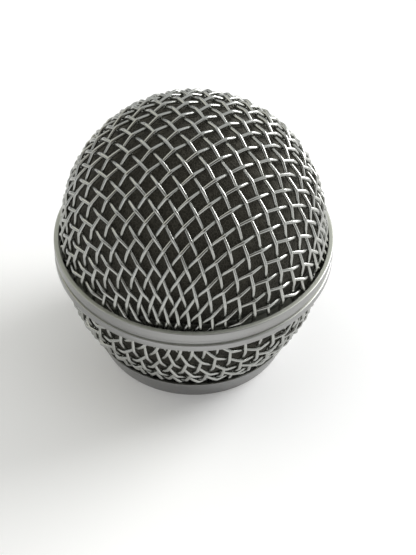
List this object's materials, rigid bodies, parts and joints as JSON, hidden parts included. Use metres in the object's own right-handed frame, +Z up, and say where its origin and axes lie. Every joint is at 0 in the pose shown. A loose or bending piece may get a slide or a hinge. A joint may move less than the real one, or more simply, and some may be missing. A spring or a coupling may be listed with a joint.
{
  "type": "microphone ball grille head",
  "caption": "Ball-shaped woven steel wire grille head with foam lining, a grooved metal band and a tapered, internally threaded collar.",
  "frame": {"origin": "centre of the collar's bottom face", "axes": "+Z up along the head's axis, from the collar to the top of the dome; -Y towards the viewer of the rest view"},
  "size_m": [0.0512, 0.0512, 0.052],
  "materials": {
    "steel_wire": "nickel-plated drawn wire, satin",
    "satin_band": "satin nickel plate, turned",
    "satin_collar": "satin nickel plate, fine turned",
    "dull_steel": "dull, unpolished",
    "foam": "open-cell polyurethane foam, near black"
  },
  "bodies": {
    "root": {"dome_warp_wires": "steel_wire", "dome_weft_wires": "steel_wire", "basket_warp_wires": "steel_wire", "basket_weft_wires": "steel_wire", "upper_band_ring": "satin_band", "lower_band_ring": "satin_band", "frame_ring": "satin_band", "threaded_collar": "satin_collar", "basket_clamp_ring": "dull_steel", "dome_foam_liner": "foam", "basket_foam_liner": "foam"}
  },
  "joints": []
}
